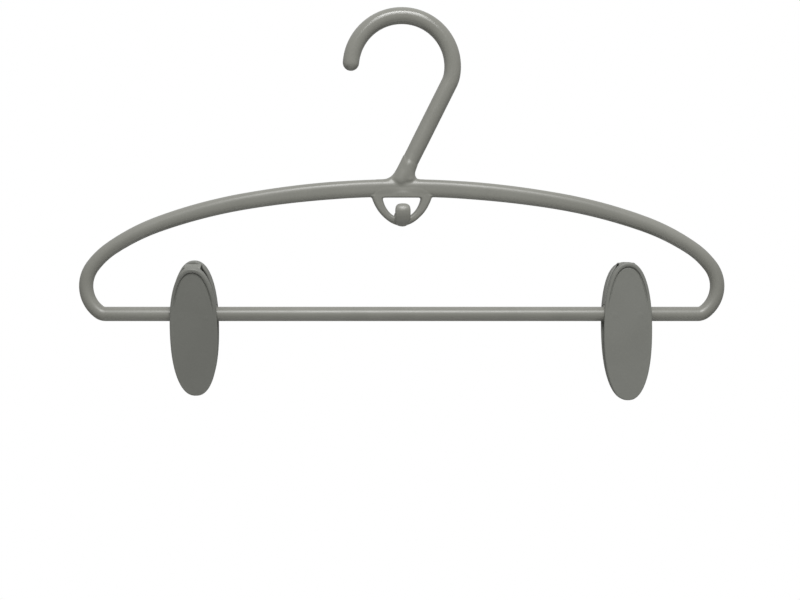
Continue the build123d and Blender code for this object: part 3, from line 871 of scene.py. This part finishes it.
def spring_mesh(cx, tilt):
    """Bent band between the finger ends: rounded corners, rounded long edges."""
    outer = [(9.5, -4.9), (20.0, -4.6), (31.35, -3.9), (31.8, 0.5), (31.35, 4.95), (20.0, 5.3), (9.5, 4.9)]
    inner = [(9.5, -4.0), (20.0, -3.7), (30.45, -3.0), (30.9, 0.5), (30.45, 4.05), (20.0, 4.4), (9.5, 4.0)]
    mid = [((a[0] + b[0]) / 2, (a[1] + b[1]) / 2) for a, b in zip(outer, inner)]
    pts = np.array(mid)
    path = [pts[0]]
    for i in range(1, len(pts) - 1):
        p, a, b = pts[i], pts[i - 1], pts[i + 1]
        u, w = (a - p) / np.linalg.norm(a - p), (b - p) / np.linalg.norm(b - p)
        ang = math.acos(float(np.clip((u * w).sum(), -1, 1)))
        cut = min(0.65 / math.tan(ang / 2), 0.45 * np.linalg.norm(a - p), 0.45 * np.linalg.norm(b - p))
        if cut < 0.15:
            path.append(p)
            continue
        s, e = p + u * cut, p + w * cut
        bis = (u + w) / np.linalg.norm(u + w)
        rad = cut * math.tan(ang / 2)
        c = p + bis * math.hypot(rad, cut)
        a0, a1 = math.atan2(*(s - c)[::-1]), math.atan2(*(e - c)[::-1])
        while a1 - a0 > math.pi: a1 -= 2 * math.pi
        while a1 - a0 < -math.pi: a1 += 2 * math.pi
        steps = 7 if abs(a1 - a0) > 0.5 else 3
        for k in range(steps + 1):
            q = a0 + (a1 - a0) * k / steps
            path.append(c + rad * np.array([math.cos(q), math.sin(q)]))
    path.append(pts[-1])
    fine = [path[0]]
    for p, q in zip(path, path[1:]):
        parts = max(1, int(np.linalg.norm(q - p) / 1.2))
        fine += [p + (q - p) * k / parts for k in range(1, parts + 1)]
    path = np.array(fine)
    t = unit(np.gradient(path, axis=0))
    nrm = np.stack([-t[:, 1], t[:, 0]], 1)
    half_w, half_t, r = 5.0, 0.45, 0.2
    sec = []
    for sx, st in ((1, 1), (-1, 1), (-1, -1), (1, -1)):
        base = {(1, 1): 0, (-1, 1): 90, (-1, -1): 180, (1, -1): 270}[sx, st]
        for k in range(4):
            q = math.radians(base + 30 * k)
            sec.append((sx * (half_w - r) + r * math.cos(q), st * (half_t - r) + r * math.sin(q)))
    build = Build()
    rings = []
    for p, n_ in zip(path, nrm):
        rings.append(build.add([(x, p[0] + n_[0] * k, p[1] + n_[1] * k) for x, k in sec]))
    for r0, r1 in zip(rings, rings[1:]):
        for i in range(len(sec)):
            j = (i + 1) % len(sec)
            build.f.append([r0[i], r0[j], r1[j], r1[i]])
    build.f.append(list(reversed(rings[0])))
    build.f.append(list(rings[-1]))
    build.v = [tuple(q) for q in jaw_to_world(np.array(build.v), True, cx, tilt)]
    return build


def solid(name, build, material):
    """A closed mesh from a Build, its faces turned outwards."""
    bm = bmesh.new()
    vs = [bm.verts.new([c * MM for c in p]) for p in build.v]
    for f in build.f:
        bm.faces.new([vs[i] for i in f])
    bmesh.ops.recalc_face_normals(bm, faces=bm.faces[:])
    me = bpy.data.meshes.new(name)
    bm.to_mesh(me)
    bm.free()
    me.polygons.foreach_set("use_smooth", np.ones(len(me.polygons), bool))
    me.set_sharp_from_angle(angle=math.radians(40))
    me.materials.append(material)
    ob = bpy.data.objects.new(name, me)
    bpy.context.scene.collection.objects.link(ob)
    return ob


for side, (cx, tilt) in CLIPS.items():
    place(side + "_front_finger", front_jaw, True, side, side + "_front", side + "_front_jaw", clip_mat, face_to_jaw)
    place(side + "_rear_finger", rear_jaw, False, side, side + "_rear", side + "_rear_jaw", clip_mat, face_to_jaw)
    place(side + "_front_grip", pad, True, side, side + "_front", side + "_front_pad", pad_mat)
    place(side + "_rear_grip", pad, False, side, side + "_rear", side + "_rear_pad", pad_mat)
    bush = solid(side + "_bush", sleeve_mesh(cx), sleeve_mat)
    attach(bush, side + "_bush")
    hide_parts(side + "_sleeve")
    band = solid(side + "_spring_band", spring_mesh(cx, tilt), spring_mat)
    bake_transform(band)
    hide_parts(side + "_spring")

# ---- floor, light and surroundings ------------------------------------------------------------
def disc(name, radius, z):
    """Round floor with a gently raised rim, as one mesh of rings."""
    verts, faces = [(0, 0, z)], []
    rings = [0.1, 0.25, 0.45, 0.65, 0.82, 0.93, 1.0]
    n = 96
    for r in rings:
        for k in range(n):
            a = 2 * math.pi * k / n
            verts.append((radius * r * math.cos(a), radius * r * math.sin(a), z + 6.0 * max(0.0, (r - 0.82) / 0.18) ** 2))
    for k in range(n):
        faces.append((0, 1 + k, 1 + (k + 1) % n))
    for i in range(len(rings) - 1):
        a, b = 1 + i * n, 1 + (i + 1) * n
        for k in range(n):
            j = (k + 1) % n
            faces.append((a + k, b + k, b + j, a + j))
    return make(name, verts, faces)


floor_mat = bpy.data.materials.new("floor_paint")
floor_mat.use_nodes = True
fb = floor_mat.node_tree.nodes["Principled BSDF"]
fb.inputs["Roughness"].default_value = 0.9
fb.inputs["Specular IOR Level"].default_value = 0.1
fn = floor_mat.node_tree.nodes.new("ShaderNodeTexNoise")
fn.inputs["Scale"].default_value = 3.0
fr = floor_mat.node_tree.nodes.new("ShaderNodeValToRGB")
fr.color_ramp.elements[0].color = (0.80, 0.80, 0.79, 1)
fr.color_ramp.elements[1].color = (0.84, 0.84, 0.83, 1)
floor_mat.node_tree.links.new(fn.outputs["Fac"], fr.inputs["Fac"])
floor_mat.node_tree.links.new(fr.outputs["Color"], fb.inputs["Base Color"])
floor = disc("floor", 480.0, -800.0)
floor.data.materials.append(floor_mat)


def softbox(name, at, aim, size, watts, colour=(1, 1, 1)):
    data = bpy.data.lights.new(name, "AREA")
    data.shape = "RECTANGLE"
    data.size, data.size_y = size
    data.energy = watts
    data.color = colour
    ob = bpy.data.objects.new(name, data)
    bpy.context.scene.collection.objects.link(ob)
    ob.location = at
    ob.rotation_euler = (Vector(aim) - Vector(at)).to_track_quat("-Z", "Y").to_euler()
    return ob


mid = Vector((0.0, 0.0, -0.11))
el = math.radians(46)
softbox("key", (0.03, -1.25 * math.cos(el), -0.11 + 1.25 * math.sin(el)), mid, (0.70, 0.34), 11.9)
low = math.radians(31)
softbox("fill", (0.03, -1.25 * math.cos(low), -0.11 + 1.25 * math.sin(low)), mid, (0.70, 0.32), 4.1)

world = bpy.data.worlds.new("studio")
bpy.context.scene.world = world
world.use_nodes = True
nt = world.node_tree
nt.nodes.clear()
wc = nt.nodes.new("ShaderNodeTexCoord")
ws = nt.nodes.new("ShaderNodeSeparateXYZ")
nt.links.new(wc.outputs["Generated"], ws.inputs["Vector"])
wr = nt.nodes.new("ShaderNodeValToRGB")
wr.color_ramp.interpolation = "EASE"
e = wr.color_ramp.elements
e[0].position, e[0].color = 0.0, (0.22, 0.22, 0.213, 1)
e[1].position, e[1].color = 1.0, (1.0, 1.0, 1.0, 1)
m_ = e.new(0.5)
m_.color = (0.44, 0.44, 0.43, 1)
half = nt.nodes.new("ShaderNodeMapRange")
half.inputs["From Min"].default_value = -1.0
half.inputs["From Max"].default_value = 1.0
nt.links.new(ws.outputs["Z"], half.inputs["Value"])
nt.links.new(half.outputs["Result"], wr.inputs["Fac"])
lit = nt.nodes.new("ShaderNodeBackground")
lit.inputs["Strength"].default_value = 0.965
nt.links.new(wr.outputs["Color"], lit.inputs["Color"])
seen = nt.nodes.new("ShaderNodeBackground")
seen.inputs["Color"].default_value = (1.0, 1.0, 1.0, 1)
seen.inputs["Strength"].default_value = 1.0
path = nt.nodes.new("ShaderNodeLightPath")
mix = nt.nodes.new("ShaderNodeMixShader")
out_ = nt.nodes.new("ShaderNodeOutputWorld")
nt.links.new(path.outputs["Is Camera Ray"], mix.inputs["Fac"])
nt.links.new(lit.outputs["Background"], mix.inputs[1])
nt.links.new(seen.outputs["Background"], mix.inputs[2])
nt.links.new(mix.outputs["Shader"], out_.inputs["Surface"])
